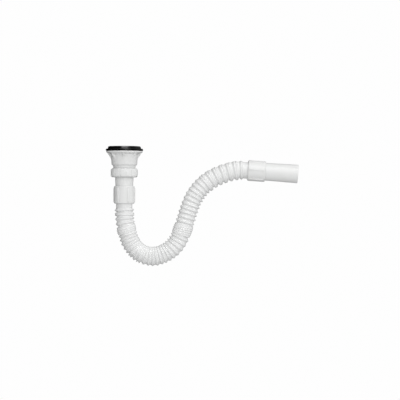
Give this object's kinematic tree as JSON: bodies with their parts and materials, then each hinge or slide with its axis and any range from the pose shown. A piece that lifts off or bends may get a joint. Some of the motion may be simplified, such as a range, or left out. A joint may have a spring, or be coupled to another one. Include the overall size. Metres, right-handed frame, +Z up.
{
  "type": "flexible sink trap",
  "caption": "White flexible basin trap: slotted waste on rubber gaskets, union nut, bellows hose with a U-bend water seal, and a plain push-in outlet spigot.",
  "frame": {"origin": "centre of the sink seat, on the top face of the lower gasket", "axes": "+Z up along the waste's axis, +X towards the outlet spigot, the hose lies in the XZ plane"},
  "size_m": [0.3623, 0.07, 0.2249],
  "materials": {
    "white_plastic": "satin moulded polypropylene",
    "hose_plastic": "satin blown polypropylene",
    "black_rubber": "smooth, slightly glossy",
    "seal_rubber": "matt",
    "stainless_steel": "polished pressing",
    "brass": "turned"
  },
  "bodies": {
    "waste": {"waste_cup": "white_plastic", "lower_gasket": "black_rubber", "brass_insert": "brass"},
    "strainer": {"strainer_plate": "stainless_steel", "upper_gasket": "black_rubber"},
    "screw": {"strainer_screw": "stainless_steel"},
    "washer": {"sealing_washer": "seal_rubber"},
    "nut": {"union_nut": "white_plastic"},
    "trap": {"tailpiece": "white_plastic", "inlet_coupler": "white_plastic", "inlet_seal": "seal_rubber", "bellows_hose": "hose_plastic", "outlet_coupler": "white_plastic", "outlet_seal": "seal_rubber", "outlet_spigot": "white_plastic"}
  },
  "joints": [
    {"name": "strainer_lift", "type": "slide", "parent": "waste", "child": "strainer", "axis": [0, 0, 1], "range_m": [0, 0.01]},
    {"name": "screw_turn", "type": "hinge", "parent": "strainer", "child": "screw", "pos_m": [0, 0, 0], "axis": [0, 0, 1], "range_deg": [0, 3600]},
    {"name": "union_drop", "type": "slide", "parent": "waste", "child": "washer", "axis": [0, 0, -1], "range_m": [0, 0.009]},
    {"name": "nut_turn", "type": "hinge", "parent": "washer", "child": "nut", "pos_m": [0, 0, -0.045], "axis": [0, 0, -1], "range_deg": [0, 1403]},
    {"name": "trap_swivel", "type": "hinge", "parent": "washer", "child": "trap", "pos_m": [0, 0, -0.05], "axis": [0, 0, 1], "continuous": true}
  ],
  "couplings": [
    {"joint": "screw_turn", "follows": "strainer_lift", "rad_per_m": 6283.2},
    {"joint": "nut_turn", "follows": "union_drop", "rad_per_m": 2720.8}
  ]
}
